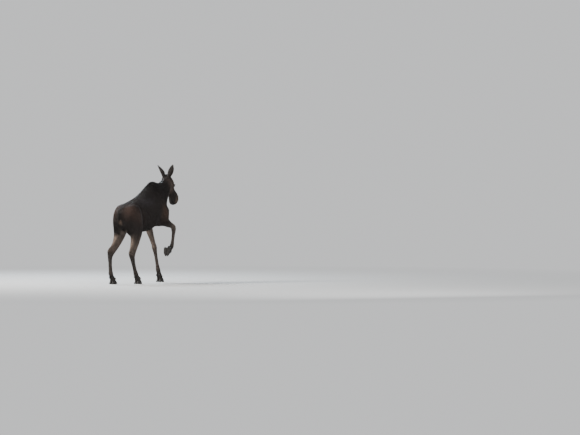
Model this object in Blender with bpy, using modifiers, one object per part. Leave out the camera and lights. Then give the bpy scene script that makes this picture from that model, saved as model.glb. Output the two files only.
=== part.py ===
"""A life-size young cow moose, striding with its right foreleg raised.

Frame: metres, +X towards the head, +Y to the animal's left, +Z up.
The body is modelled whole, from lofts through named sections and a few muscle
masses, fused by a voxel remesh, and then parted into named pieces by thin cuts.
"""

import math

import bmesh
import bpy
import numpy as np
from mathutils import Matrix, Vector

# ---------------------------------------------------------------- driving sizes
GAP = 0.0004  # clearance between pieces that meet
VOXEL = 0.011  # size of the remesh that fuses the flesh
BODY_TRIANGLES = 3700
SIDES = 24  # points round a loft's ring
RINGS = 5  # rings between two stations of a loft
LOWER_SHARPNESS = 2.1  # how square the lower half of a body section is

HEAD_LENGTH = 0.577
HEAD_PITCH = math.radians(48)  # nose below the horizontal
HEAD_YAW = math.radians(4)
POLL = Vector((0.965, 0.0, 1.868))  # top of the head, between the ears

EYE_RADIUS = 0.021
EYE_PLACE = (0.226, 0.073, -0.042)  # along the head, to the side, above the poll line

EAR_LENGTH = 0.215
EAR_WIDTH = 0.105
EAR_WALL = 0.010

CLAW_WIDTH = 0.052
CLAW_CLEFT = 0.006

FLESH_PASSES = 8  # smoothing of all the flesh
BULK_PASSES = 24  # further smoothing of the fused trunk and thighs
BULK_FLOOR = 0.92  # the trunk is smoothed above this height
CHEST = (0.60, 0.78, 1.10)  # from here forward nothing is smoothed below the height, or past the second
THIGHS = (-0.20, 0.79)  # behind this the thighs are smoothed down to the height

TAIL_PLACE = (-0.706, 0.0, 1.170)
TAIL_RADII = (0.024, 0.028, 0.072)
TAIL_LEAN = math.radians(10)

EAR_PLACE = (0.012, 0.072, -0.045)  # along the head, to the side, above the poll line
EAR_AXES = {1: (-0.02, 0.43, 0.90), -1: (-0.10, -0.32, 0.94)}
EAR_MOUTHS = {1: (-0.20, 0.98, 0.0), -1: (0.97, -0.15, 0.0)}
EAR_STEPS = 6
# Ear: share of its length, share of its width, half wrap in degrees, lean back
EAR_SHAPE = [
    (-0.12, 0.42, 150, 0.00),
    (0.10, 0.58, 135, 0.02),
    (0.30, 0.88, 100, 0.05),
    (0.52, 1.00, 78, 0.06),
    (0.74, 0.82, 62, 0.04),
    (0.92, 0.42, 48, 0.00),
    (1.00, 0.10, 40, -0.03),
]

# Claw: forward place, height, half width, bend towards the cleft
CLAW = [
    (-0.056, 0.028, 0.013, 0.004),
    (-0.046, 0.062, 0.022, 0.002),
    (-0.022, 0.112, 0.028, 0.000),
    (0.008, 0.138, 0.029, 0.000),
    (0.032, 0.134, 0.029, 0.000),
    (0.056, 0.092, 0.026, 0.002),
    (0.082, 0.050, 0.018, 0.007),
    (0.106, 0.013, 0.005, 0.015),
]
CLAW_SUNK = 0.6  # share of the height that is rounded off below the sole and cut away
CLAW_LEVEL = 0.45  # where the claw is widest, from the sunk bottom to the top
CLAW_SQUARE = 2.3  # how square its section is
CORONET = Vector((0.0, 0.0, 0.086))  # middle of the hoof's upper rim, in the foot's frame
FOOT_PITCH = {"front_right": math.radians(93)}  # the raised foot, toe turned down and back
DEWCLAW_PLACE = (-0.060, 0.024, 0.120)
DEWCLAW_RADII = (0.018, 0.017, 0.030)
DEWCLAW_TAPER = 0.30  # how much narrower the tip is than the root
DEWCLAW_LEAN = math.radians(35)

# Leg pieces: first station, last station, name, blade's radius against the half thickness
LEG_PARTS = {
    "front_left": [(2, 6, "forearm", 1.7)],
    "front_right": [(4, 6, "forearm", 1.7)],
    "hind_left": [(0, 3, "thigh", 0), (4, 7, "shank", 2.0)],
    "hind_right": [(0, 3, "thigh", 0), (4, 7, "shank", 2.0)],
}
LOW_PARTS = {
    "front": [(6, 11, "cannon", 2.0), (11, 13, "pastern", 2.0), (13, 14, "waste", 1.5)],
    "hind": [(7, 11, "cannon", 2.6), (11, 13, "pastern", 2.0), (13, 14, "waste", 1.5)],
}
THIGH_LOW = (-1.10, -0.10)  # rear and lower edge of the space a hind leg is cut from
THIGH_HIGH = (-0.10, 0.50, 1.30)  # its front, outer and upper edge
GROIN = (-0.40, 0.0, 0.870)  # a point of the plane that parts thigh from belly
GROIN_SLOPE = (0.45, -0.62, 0.78)

# Blades that part the body: centre, direction, radius
BODY_CUTS = [
    ((0.915, 0.0, 1.670), (0.99, 0.0, 0.13), 0.26),
    ((0.590, 0.0, 1.460), (0.90, 0.0, 0.42), 0.46),
]
BODY_ANCHORS = {
    "trunk": (0.10, 0.0, 1.25),
    "neck": (0.78, 0.0, 1.55),
    "head": (1.10, 0.0, 1.60),
}

FINISHES = {  # base colour and roughness
    "body_hair": ((0.045, 0.033, 0.028), 0.75),
    "leg_hair": ((0.160, 0.115, 0.090), 0.80),
    "horn": ((0.030, 0.026, 0.024), 0.45),
    "eye": ((0.012, 0.008, 0.006), 0.10),
}

# ---------------------------------------------------------------- body sections
# Trunk: x, back height, belly height, half width, level of greatest width, sharpness of the back
TRUNK = [
    (-0.700, 1.245, 1.130, 0.040, 0.50, 2.0),
    (-0.650, 1.300, 1.030, 0.105, 0.50, 2.0),
    (-0.560, 1.352, 0.935, 0.155, 0.50, 2.0),
    (-0.440, 1.396, 0.915, 0.185, 0.52, 2.0),
    (-0.300, 1.428, 0.908, 0.198, 0.50, 2.0),
    (-0.120, 1.480, 0.888, 0.234, 0.46, 1.9),
    (0.040, 1.540, 0.878, 0.252, 0.44, 1.8),
    (0.190, 1.630, 0.888, 0.250, 0.42, 1.6),
    (0.310, 1.715, 0.925, 0.238, 0.40, 1.5),
    (0.430, 1.757, 0.960, 0.220, 0.40, 1.5),
    (0.560, 1.742, 1.005, 0.200, 0.38, 1.5),
    (0.670, 1.640, 1.060, 0.175, 0.36, 1.8),
    (0.760, 1.480, 1.130, 0.120, 0.36, 2.0),
]

# Neck: crest point, throat point, half width, level of greatest width, sharpness
NECK = [
    ((0.34, 1.735), (0.62, 1.060), 0.185, 0.42, 1.6),
    ((0.50, 1.750), (0.75, 1.200), 0.160, 0.42, 1.6),
    ((0.64, 1.728), (0.82, 1.330), 0.132, 0.44, 1.7),
    ((0.76, 1.750), (0.87, 1.420), 0.118, 0.46, 1.8),
    ((0.86, 1.805), (0.93, 1.490), 0.106, 0.48, 1.9),
    ((0.94, 1.848), (1.00, 1.560), 0.088, 0.50, 2.0),
]

# Head, along the line from the poll to the nose, as shares of the head's length:
# along, profile above the line, jaw below it, half width, level of greatest width, sharpness
HEAD = [
    (-0.04, -0.020, -0.230, 0.095, 0.55, 2.0),
    (0.06, 0.014, -0.350, 0.142, 0.60, 2.2),
    (0.18, 0.036, -0.395, 0.168, 0.62, 2.4),
    (0.30, 0.036, -0.388, 0.168, 0.64, 2.6),
    (0.40, 0.015, -0.352, 0.140, 0.62, 2.6),
    (0.52, -0.004, -0.305, 0.108, 0.58, 2.6),
    (0.65, 0.014, -0.280, 0.104, 0.54, 2.5),
    (0.77, 0.036, -0.292, 0.126, 0.50, 2.5),
    (0.87, 0.022, -0.324, 0.143, 0.46, 2.6),
    (0.945, -0.030, -0.334, 0.134, 0.45, 2.6),
    (0.995, -0.110, -0.288, 0.090, 0.50, 2.3),
]
CHIN = [  # lower jaw and chin, under the overhanging lip
    (0.30, -0.20, -0.380, 0.085, 0.5, 2.0),
    (0.50, -0.18, -0.320, 0.066, 0.5, 2.0),
    (0.66, -0.20, -0.322, 0.064, 0.5, 2.0),
    (0.77, -0.22, -0.356, 0.068, 0.5, 2.2),
    (0.83, -0.24, -0.356, 0.048, 0.5, 2.0),
]

# Legs: x, y, z of the bone's line, then half thickness to the side and fore and aft
LEGS = {
    "front_left": [
        (0.610, 0.130, 1.260, 0.075, 0.120),
        (0.600, 0.155, 1.120, 0.078, 0.125),
        (0.600, 0.168, 0.990, 0.064, 0.088),
        (0.647, 0.164, 0.880, 0.056, 0.070),
        (0.707, 0.156, 0.760, 0.045, 0.055),
        (0.751, 0.149, 0.665, 0.040, 0.046),
        (0.773, 0.145, 0.610, 0.045, 0.051),
        (0.788, 0.141, 0.550, 0.038, 0.043),
        (0.806, 0.137, 0.480, 0.031, 0.036),
        (0.829, 0.130, 0.370, 0.028, 0.034),
        (0.849, 0.124, 0.270, 0.032, 0.037),
        (0.863, 0.121, 0.215, 0.040, 0.044),
        (0.891, 0.119, 0.150, 0.039, 0.041),
        (0.921, 0.118, 0.086, 0.047, 0.050),
        (0.965, 0.117, 0.035, 0.042, 0.046),
    ],
    "front_right": [
        (0.650, -0.130, 1.300, 0.075, 0.110),
        (0.590, -0.158, 1.170, 0.080, 0.120),
        (0.520, -0.172, 1.075, 0.070, 0.090),
        (0.600, -0.186, 1.040, 0.060, 0.080),
        (0.700, -0.190, 1.008, 0.048, 0.058),
        (0.790, -0.190, 0.980, 0.041, 0.049),
        (0.853, -0.188, 0.952, 0.044, 0.050),
        (0.870, -0.186, 0.895, 0.038, 0.044),
        (0.865, -0.183, 0.830, 0.030, 0.035),
        (0.852, -0.178, 0.730, 0.028, 0.033),
        (0.838, -0.174, 0.665, 0.032, 0.036),
        (0.818, -0.172, 0.622, 0.040, 0.043),
        (0.780, -0.170, 0.585, 0.039, 0.041),
        (0.728, -0.170, 0.553, 0.047, 0.050),
        (0.678, -0.170, 0.520, 0.042, 0.046),
    ],
    "hind_left": [
        (-0.490, 0.100, 1.230, 0.085, 0.160),
        (-0.465, 0.130, 1.090, 0.095, 0.180),
        (-0.425, 0.135, 0.970, 0.108, 0.180),
        (-0.430, 0.148, 0.865, 0.088, 0.158),
        (-0.475, 0.160, 0.765, 0.062, 0.120),
        (-0.565, 0.156, 0.665, 0.049, 0.092),
        (-0.675, 0.151, 0.580, 0.044, 0.076),
        (-0.750, 0.148, 0.510, 0.044, 0.064),
        (-0.768, 0.146, 0.440, 0.036, 0.048),
        (-0.770, 0.142, 0.350, 0.031, 0.038),
        (-0.764, 0.140, 0.240, 0.033, 0.039),
        (-0.758, 0.138, 0.185, 0.041, 0.045),
        (-0.728, 0.137, 0.135, 0.039, 0.042),
        (-0.692, 0.136, 0.086, 0.047, 0.050),
        (-0.656, 0.135, 0.036, 0.042, 0.046),
    ],
    "hind_right": [
        (-0.490, -0.100, 1.230, 0.085, 0.160),
        (-0.430, -0.130, 1.090, 0.095, 0.180),
        (-0.380, -0.135, 0.970, 0.110, 0.185),
        (-0.395, -0.146, 0.870, 0.092, 0.166),
        (-0.432, -0.158, 0.750, 0.062, 0.122),
        (-0.474, -0.156, 0.640, 0.049, 0.100),
        (-0.508, -0.153, 0.555, 0.044, 0.082),
        (-0.522, -0.150, 0.490, 0.044, 0.068),
        (-0.500, -0.148, 0.415, 0.036, 0.050),
        (-0.462, -0.146, 0.325, 0.031, 0.039),
        (-0.418, -0.145, 0.235, 0.033, 0.039),
        (-0.394, -0.145, 0.185, 0.041, 0.045),
        (-0.360, -0.145, 0.135, 0.039, 0.042),
        (-0.324, -0.145, 0.086, 0.047, 0.050),
        (-0.288, -0.145, 0.036, 0.042, 0.046),
    ],
    "heel_left": [
        (-0.660, 0.154, 0.665, 0.016, 0.022),
        (-0.765, 0.152, 0.610, 0.018, 0.022),
        (-0.815, 0.150, 0.568, 0.022, 0.024),
        (-0.795, 0.148, 0.500, 0.024, 0.026),
        (-0.780, 0.146, 0.440, 0.020, 0.022),
    ],
    "heel_right": [
        (-0.545, -0.156, 0.680, 0.016, 0.022),
        (-0.590, -0.153, 0.590, 0.018, 0.022),
        (-0.610, -0.151, 0.535, 0.022, 0.024),
        (-0.578, -0.149, 0.475, 0.024, 0.026),
        (-0.525, -0.148, 0.420, 0.020, 0.022),
    ],
}

# Muscle and bone masses on the left side: centre, radii, lean in degrees (top forward)
MASSES = {
    "haunch": ((-0.475, 0.112, 1.120), (0.190, 0.106, 0.255), 12),
    "buttock": ((-0.600, 0.080, 1.110), (0.085, 0.085, 0.165), 0),
    "inner_thigh": ((-0.470, 0.070, 0.935), (0.110, 0.058, 0.105), 15),
    "stifle": ((-0.325, 0.140, 0.965), (0.085, 0.072, 0.130), 15),
    "hip_bone": ((-0.310, 0.108, 1.300), (0.120, 0.078, 0.075), 0),
    "shoulder_blade": ((0.500, 0.098, 1.370), (0.140, 0.095, 0.270), -22),
    "upper_arm": ((0.550, 0.132, 1.180), (0.145, 0.095, 0.120), 20),
    "girth": ((0.460, 0.125, 1.045), (0.120, 0.080, 0.080), 0),
}


# ---------------------------------------------------------------- shape helpers
def smooth_rows(rows, count):
    """Rows of numbers, run through a Catmull-Rom curve with count steps a gap."""
    data = np.array(rows, float)
    padded = np.vstack([2 * data[0] - data[1], data, 2 * data[-1] - data[-2]])
    out = []
    for i in range(1, len(padded) - 2):
        a, b, c, d = padded[i - 1 : i + 3]
        for t in np.arange(count) / count:
            out.append(
                0.5
                * (
                    2 * b
                    + (c - a) * t
                    + (2 * a - 5 * b + 4 * c - d) * t**2
                    + (3 * b - a - 3 * c + d) * t**3
                )
            )
    out.append(data[-1])
    return out


def section(top, bottom, side, half_width, level, sharpness):
    """A closed ring between a top and a bottom point, widest at a level from 0 to 1."""
    middle = bottom.lerp(top, level)
    ring = []
    for i in range(SIDES):
        angle = 2 * math.pi * i / SIDES
        across, along = math.cos(angle), math.sin(angle)
        power = 2 / (sharpness if along > 0 else LOWER_SHARPNESS)
        reach = (top if along > 0 else bottom) - middle
        ring.append(
            middle
            + side * math.copysign(abs(across) ** power, across) * half_width
            + reach * abs(along) ** power
        )
    return ring


def skin_rings(bm, rings):
    """Closes a loft: quads between neighbouring rings and a fan on each end."""
    rows = [[bm.verts.new(p) for p in ring] for ring in rings]
    for low, high in zip(rows, rows[1:]):
        for i in range(len(low)):
            j = (i + 1) % len(low)
            bm.faces.new((low[i], low[j], high[j], high[i]))
    bm.faces.new(rows[0][::-1])
    bm.faces.new(rows[-1])


def head_point(along, side, up):
    """A point given along the head from the poll, to the left, and above the poll line."""
    turn = Matrix.Rotation(HEAD_YAW, 3, "Z") @ Matrix.Rotation(HEAD_PITCH, 3, "Y")
    return POLL + turn @ Vector((along, side, up))


def add_trunk(bm):
    rings = []
    for x, top, bottom, half, level, sharp in smooth_rows(TRUNK, RINGS):
        ends = Vector((x, 0, top)), Vector((x, 0, bottom))
        rings.append(section(*ends, Vector((0, 1, 0)), half, level, sharp))
    skin_rings(bm, rings)


def add_neck(bm):
    rows = [(*crest, *throat, *rest) for crest, throat, *rest in NECK]
    rings = []
    for cx, cz, tx, tz, half, level, sharp in smooth_rows(rows, RINGS):
        ends = Vector((cx, 0, cz)), Vector((tx, 0, tz))
        rings.append(section(*ends, Vector((0, 1, 0)), half, level, sharp))
    skin_rings(bm, rings)


def add_head(bm, rows):
    side = head_point(0, 1, 0) - POLL
    rings = []
    for row in smooth_rows(rows, RINGS):
        along, top, bottom, half = (v * HEAD_LENGTH for v in row[:4])
        ends = head_point(along, 0, top), head_point(along, 0, bottom)
        rings.append(section(*ends, side, half, row[4], row[5]))
    skin_rings(bm, rings)


def add_leg(bm, rows):
    path = smooth_rows(rows, RINGS)
    rings = []
    for i, row in enumerate(path):
        ahead = Vector(path[min(i + 1, len(path) - 1)][:3])
        behind = Vector(path[max(i - 1, 0)][:3])
        run = (ahead - behind).normalized()
        side = (Vector((0, 1, 0)) - run * run.y).normalized()
        fore = side.cross(run)
        centre = Vector(row[:3])
        ring = []
        for k in range(SIDES):
            angle = 2 * math.pi * k / SIDES
            ring.append(
                centre
                + side * math.cos(angle) * row[3]
                + fore * math.sin(angle) * row[4]
            )
        rings.append(ring)
    skin_rings(bm, rings)


def add_ellipsoid(bm, centre, radii, turn):
    place = Matrix.LocRotScale(Vector(centre), turn, Vector(radii))
    bmesh.ops.create_uvsphere(
        bm, u_segments=SIDES, v_segments=16, radius=1, matrix=place
    )


def add_masses(bm):
    for centre, radii, lean in MASSES.values():
        turn = Matrix.Rotation(math.radians(lean), 3, "Y").to_quaternion()
        x, y, z = centre
        for side in (1, -1):
            add_ellipsoid(bm, (x, side * y, z), radii, turn)


def new_object(name, bm, collection):
    mesh = bpy.data.meshes.new(name)
    bm.to_mesh(mesh)
    bm.free()
    made = bpy.data.objects.new(name, mesh)
    collection.objects.link(made)
    return made


def settle(thing):
    """Replaces an object's mesh by what its modifiers make of it."""
    view = bpy.context.evaluated_depsgraph_get()
    mesh = bpy.data.meshes.new_from_object(thing.evaluated_get(view))
    thing.modifiers.clear()
    thing.data = mesh
    return thing


def smooth_bulk(thing):
    """Eases the fused seams of the trunk and thighs, and leaves the slim legs alone."""
    bm = bmesh.new()
    bm.from_mesh(thing.data)
    start, end, height = CHEST
    bulk = []
    for v in bm.verts:
        chest = v.co.x > end or (v.co.x > start and v.co.z < height)
        thigh = v.co.x < THIGHS[0] and v.co.z > THIGHS[1]
        if thigh or (v.co.z > BULK_FLOOR and not chest):
            bulk.append(v)
    for _ in range(BULK_PASSES):
        bmesh.ops.smooth_vert(
            bm, verts=bulk, factor=0.5, use_axis_x=True, use_axis_y=True, use_axis_z=True
        )
    bm.to_mesh(thing.data)
    bm.free()


def whole_flesh(collection):
    bm = bmesh.new()
    add_trunk(bm)
    add_neck(bm)
    add_head(bm, HEAD)
    add_head(bm, CHIN)
    for rows in LEGS.values():
        add_leg(bm, rows)
    add_masses(bm)
    whole = new_object("whole", bm, collection)
    fuse = whole.modifiers.new("fuse", "REMESH")
    fuse.mode = "VOXEL"
    fuse.voxel_size = VOXEL
    ease = whole.modifiers.new("ease", "SMOOTH")
    ease.factor = 0.5
    ease.iterations = FLESH_PASSES
    settle(whole)
    smooth_bulk(whole)
    thin = whole.modifiers.new("thin", "DECIMATE")
    thin.ratio = BODY_TRIANGLES / (2 * len(whole.data.polygons))
    return settle(whole)


# ---------------------------------------------------------------- thin cuts
def boolean(thing, cutter, operation):
    step = thing.modifiers.new("cut", "BOOLEAN")
    step.object = cutter
    step.operation = operation
    step.solver = "EXACT"
    settle(thing)
    bpy.data.objects.remove(cutter)
    return thing


def trim(bm, point, normal):
    """Takes off everything past a plane and closes the cut."""
    cut = bmesh.ops.bisect_plane(
        bm,
        geom=bm.verts[:] + bm.edges[:] + bm.faces[:],
        plane_co=point,
        plane_no=normal,
        clear_outer=True,
    )
    edges = [e for e in cut["geom_cut"] if isinstance(e, bmesh.types.BMEdge)]
    bmesh.ops.holes_fill(bm, edges=edges)


def disc(bm, centre, normal, radius):
    """A thin round blade, one gap thick."""
    turn = Vector(normal).to_track_quat("Z", "Y")
    place = Matrix.LocRotScale(Vector(centre), turn, None)
    bmesh.ops.create_cone(
        bm,
        cap_ends=True,
        segments=32,
        radius1=radius,
        radius2=radius,
        depth=GAP,
        matrix=place,
    )


def thigh_region(side, grow, collection):
    """The space of one hind leg: a box whose inner top slopes from crotch to hip."""
    low = Vector((THIGH_LOW[0], -grow, THIGH_LOW[1]))
    high = Vector((THIGH_HIGH[0] + grow, *THIGH_HIGH[1:]))
    bm = bmesh.new()
    place = Matrix.LocRotScale((low + high) / 2, None, high - low)
    bmesh.ops.create_cube(bm, size=1, matrix=place)
    slope = Vector(GROIN_SLOPE).normalized()
    trim(bm, Vector(GROIN) + slope * grow, slope)
    if side < 0:
        bmesh.ops.scale(bm, vec=(1, -1, 1), verts=bm.verts)
        bmesh.ops.reverse_faces(bm, faces=bm.faces)
    return new_object("region", bm, collection)


def islands(thing, collection):
    """The loose pieces of an object's mesh, each as a bmesh, largest first."""
    source = bmesh.new()
    source.from_mesh(thing.data)
    source.verts.ensure_lookup_table()
    group = {}
    for seed in source.verts:
        if seed in group:
            continue
        stack = [seed]
        group[seed] = seed
        while stack:
            for edge in stack.pop().link_edges:
                for v in edge.verts:
                    if v not in group:
                        group[v] = seed
                        stack.append(v)
    pieces = []
    for seed in set(group.values()):
        piece = source.copy()
        piece.verts.ensure_lookup_table()
        gone = [piece.verts[v.index] for v, s in group.items() if s is not seed]
        bmesh.ops.delete(piece, geom=gone, context="VERTS")
        pieces.append(piece)
    source.free()
    bpy.data.objects.remove(thing)
    return sorted(pieces, key=lambda b: (-abs(b.calc_volume()), len(b.verts)))


def centre_of(bm):
    total = Vector()
    for v in bm.verts:
        total += v.co
    return total / len(bm.verts)


def name_pieces(thing, anchors, collection):
    """Parts an object into its loose pieces and names each by its nearest anchor."""
    made = {}
    for piece in islands(thing, collection):
        middle = centre_of(piece)
        name = min(anchors, key=lambda n: (Vector(anchors[n]) - middle).length)
        if name in made:
            piece.free()
            continue
        made[name] = new_object(name, piece, collection)
    return made


def station_cut(bm, rows, index, reach):
    here, ahead, behind = (Vector(rows[i][:3]) for i in (index, index + 1, index - 1))
    disc(bm, here, ahead - behind, reach * max(rows[index][3:]))


def middle_of(rows, low, high):
    points = [Vector(r[:3]) for r in rows[low : high + 1]]
    return sum(points, Vector()) / len(points)


def leg_blades(leg, blades, anchors):
    rows = LEGS[leg]
    for low, high, part, reach in LEG_PARTS[leg] + LOW_PARTS[leg.split("_")[0]]:
        if reach:
            station_cut(blades, rows, low, reach)
        anchors[f"{leg}_{part}"] = middle_of(rows, low, high)


def part_flesh(whole, collection):
    """Cuts the whole flesh into its named pieces."""
    made = {}
    for leg, side in (("hind_left", 1), ("hind_right", -1)):
        limb = whole.copy()
        limb.data = whole.data.copy()
        collection.objects.link(limb)
        boolean(limb, thigh_region(side, 0.0, collection), "INTERSECT")
        boolean(whole, thigh_region(side, GAP, collection), "DIFFERENCE")
        blades = bmesh.new()
        anchors = {}
        leg_blades(leg, blades, anchors)
        boolean(limb, new_object("blades", blades, collection), "DIFFERENCE")
        made.update(name_pieces(limb, anchors, collection))
    blades = bmesh.new()
    anchors = dict(BODY_ANCHORS)
    for leg in ("front_left", "front_right"):
        leg_blades(leg, blades, anchors)
    for centre, normal, radius in BODY_CUTS:
        disc(blades, centre, normal, radius)
    boolean(whole, new_object("blades", blades, collection), "DIFFERENCE")
    made.update(name_pieces(whole, anchors, collection))
    for name in [n for n in made if n.endswith("_waste")]:
        bpy.data.objects.remove(made.pop(name))
    return made


def swollen(thing, collection):
    """A copy of a piece, one gap larger all over, to cut its neighbour with."""
    bm = bmesh.new()
    bm.from_mesh(thing.data)
    bm.normal_update()
    for v in bm.verts:
        v.co += v.normal * GAP
    return new_object("swollen", bm, collection)


# ---------------------------------------------------------------- tail, eyes, ears, hooves
def add_tail(trunk, collection):
    """A short tail that lies against the rump."""
    bm = bmesh.new()
    turn = Matrix.Rotation(TAIL_LEAN, 3, "Y").to_quaternion()
    place = Matrix.LocRotScale(Vector(TAIL_PLACE), turn, Vector(TAIL_RADII))
    bmesh.ops.create_uvsphere(bm, u_segments=10, v_segments=10, radius=1, matrix=place)
    tail = new_object("tail", bm, collection)
    boolean(tail, swollen(trunk, collection), "DIFFERENCE")
    return {"tail": keep_largest(tail, collection)}


def add_eyes(head, collection):
    along, out, up = EYE_PLACE
    made = {}
    for word, side in (("left", 1), ("right", -1)):
        centre = head_point(along, side * out, up)
        for name, radius in (("socket", EYE_RADIUS + GAP), (f"eye_{word}", EYE_RADIUS)):
            bm = bmesh.new()
            place = Matrix.Translation(centre)
            bmesh.ops.create_uvsphere(
                bm, u_segments=14, v_segments=10, radius=radius, matrix=place
            )
            ball = new_object(name, bm, collection)
            if name == "socket":
                boolean(head, ball, "DIFFERENCE")
            else:
                made[name] = ball
    return made


def ear_shell(side, collection):
    """A leaf-shaped cup, open forward and outward, with a wall of even thickness."""
    along, out, up = EAR_PLACE
    base = head_point(along, side * out, up)
    axis = Vector(EAR_AXES[side]).normalized()
    mouth = Vector(EAR_MOUTHS[side])
    mouth = (mouth - axis * mouth.dot(axis)).normalized()
    across = axis.cross(mouth)
    bm = bmesh.new()
    rows = []
    for share, width, wrap, lean in smooth_rows(EAR_SHAPE, 2):
        half = math.radians(wrap)
        radius = width * EAR_WIDTH / 2 / math.sin(min(half, math.pi / 2))
        row = []
        for i in range(EAR_STEPS + 1):
            angle = half * (2 * i / EAR_STEPS - 1)
            spot = base + axis * share * EAR_LENGTH - mouth * lean * EAR_WIDTH
            spot += across * radius * math.sin(angle)
            spot += mouth * radius * (math.cos(half) - math.cos(angle))
            row.append(bm.verts.new(spot))
        rows.append(row)
    for low, high in zip(rows, rows[1:]):
        for i in range(EAR_STEPS):
            bm.faces.new((low[i], low[i + 1], high[i + 1], high[i]))
    ear = new_object("ear_left" if side > 0 else "ear_right", bm, collection)
    wall = ear.modifiers.new("wall", "SOLIDIFY")
    wall.thickness = EAR_WALL
    wall.offset = 0
    return settle(ear)


def keep_largest(thing, collection):
    name = thing.name
    first, *others = islands(thing, collection)
    for other in others:
        other.free()
    return new_object(name, first, collection)


def add_ears(head, neck, collection):
    made = {}
    for side in (1, -1):
        ear = ear_shell(side, collection)
        boolean(ear, swollen(head, collection), "DIFFERENCE")
        boolean(ear, swollen(neck, collection), "DIFFERENCE")
        ear = keep_largest(ear, collection)
        made[ear.name] = ear
    return made


def claw_bmesh(side, pastern):
    """One claw of a cloven hoof on a flat sole, in the foot's own frame."""
    rings = []
    for x, top, half, inward in CLAW:
        y = side * ((CLAW_WIDTH + CLAW_CLEFT) / 2 - inward)
        top_point = Vector((x, y, top))
        low_point = Vector((x, y, -CLAW_SUNK * top))
        ring = section(top_point, low_point, Vector((0, 1, 0)), half, CLAW_LEVEL, CLAW_SQUARE)
        rings.append(ring[::3])
    bm = bmesh.new()
    skin_rings(bm, rings)
    trim(bm, Vector(), Vector((0, 0, -1)))
    trim(bm, CORONET + pastern * GAP, -pastern)
    return bm


def foot_frame(leg):
    """Where a foot's own frame sits, and its pastern's direction in that frame."""
    rows = LEGS[leg]
    turn = Matrix.Rotation(FOOT_PITCH.get(leg, 0), 3, "Y")
    run = (Vector(rows[-1][:3]) - Vector(rows[-3][:3])).normalized()
    place = Matrix.Translation(Vector(rows[-2][:3]) - turn @ CORONET) @ turn.to_4x4()
    return place, turn.transposed() @ run


def add_hooves(flesh, collection):
    made = {}
    for leg in ("front_left", "front_right", "hind_left", "hind_right"):
        place, pastern = foot_frame(leg)
        for word, side in (("outer", 1), ("inner", -1)):
            hand = side if leg.endswith("left") else -side
            bm = claw_bmesh(hand, pastern)
            bmesh.ops.transform(bm, matrix=place, verts=bm.verts)
            made[f"claw_{leg}_{word}"] = new_object(f"claw_{leg}_{word}", bm, collection)
            bm = bmesh.new()
            spot = Vector(DEWCLAW_PLACE)
            spot.y *= hand
            lean = Matrix.Rotation(DEWCLAW_LEAN, 3, "Y").to_quaternion()
            local = Matrix.LocRotScale(spot, lean, Vector(DEWCLAW_RADII))
            bmesh.ops.create_uvsphere(bm, u_segments=8, v_segments=6, radius=1)
            for v in bm.verts:
                v.co.xy *= 1 + DEWCLAW_TAPER * v.co.z
            bmesh.ops.transform(bm, matrix=place @ local, verts=bm.verts)
            dew = new_object(f"dewclaw_{leg}_{word}", bm, collection)
            boolean(dew, swollen(flesh[f"{leg}_pastern"], collection), "DIFFERENCE")
            dew = keep_largest(dew, collection)
            made[dew.name] = dew
    return made


# ---------------------------------------------------------------- finish
def material(name, colour, roughness):
    made = bpy.data.materials.new(name)
    made.use_nodes = True
    shader = made.node_tree.nodes["Principled BSDF"]
    shader.inputs["Base Color"].default_value = (*colour, 1)
    shader.inputs["Roughness"].default_value = roughness
    return made


def paint(parts):
    finishes = {n: material(n, colour, rough) for n, (colour, rough) in FINISHES.items()}
    for name, thing in parts.items():
        if "claw" in name:
            finish = finishes["horn"]
        elif name.startswith("eye"):
            finish = finishes["eye"]
        elif name.endswith(("cannon", "pastern", "shank", "forearm")):
            finish = finishes["leg_hair"]
        else:
            finish = finishes["body_hair"]
        thing.data.materials.clear()
        thing.data.materials.append(finish)


def stand_on_origin(parts):
    """Moves everything so that the middle of the box's underside is the origin."""
    low = Vector((1e9,) * 3)
    high = Vector((-1e9,) * 3)
    for thing in parts.values():
        for v in thing.data.vertices:
            low = Vector(map(min, low, v.co))
            high = Vector(map(max, high, v.co))
    shift = Vector(((low.x + high.x) / 2, (low.y + high.y) / 2, low.z))
    for thing in parts.values():
        thing.location = -shift
    print("box", low - shift, high - shift, "shift", shift)


def main():
    for old in list(bpy.data.objects):
        bpy.data.objects.remove(old)
    collection = bpy.data.collections.new("moose")
    bpy.context.scene.collection.children.link(collection)
    parts = part_flesh(whole_flesh(collection), collection)
    parts.update(add_tail(parts["trunk"], collection))
    parts.update(add_eyes(parts["head"], collection))
    parts.update(add_ears(parts["head"], parts["neck"], collection))
    parts.update(add_hooves(parts, collection))
    paint(parts)
    stand_on_origin(parts)
    count = sum(len(p.vertices) - 2 for t in parts.values() for p in t.data.polygons)
    print(len(parts), "parts", count, "triangles")


main()
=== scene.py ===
import math

import bmesh
import bpy
import numpy as np
from mathutils import Matrix, Vector
from mathutils.bvhtree import BVHTree


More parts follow.
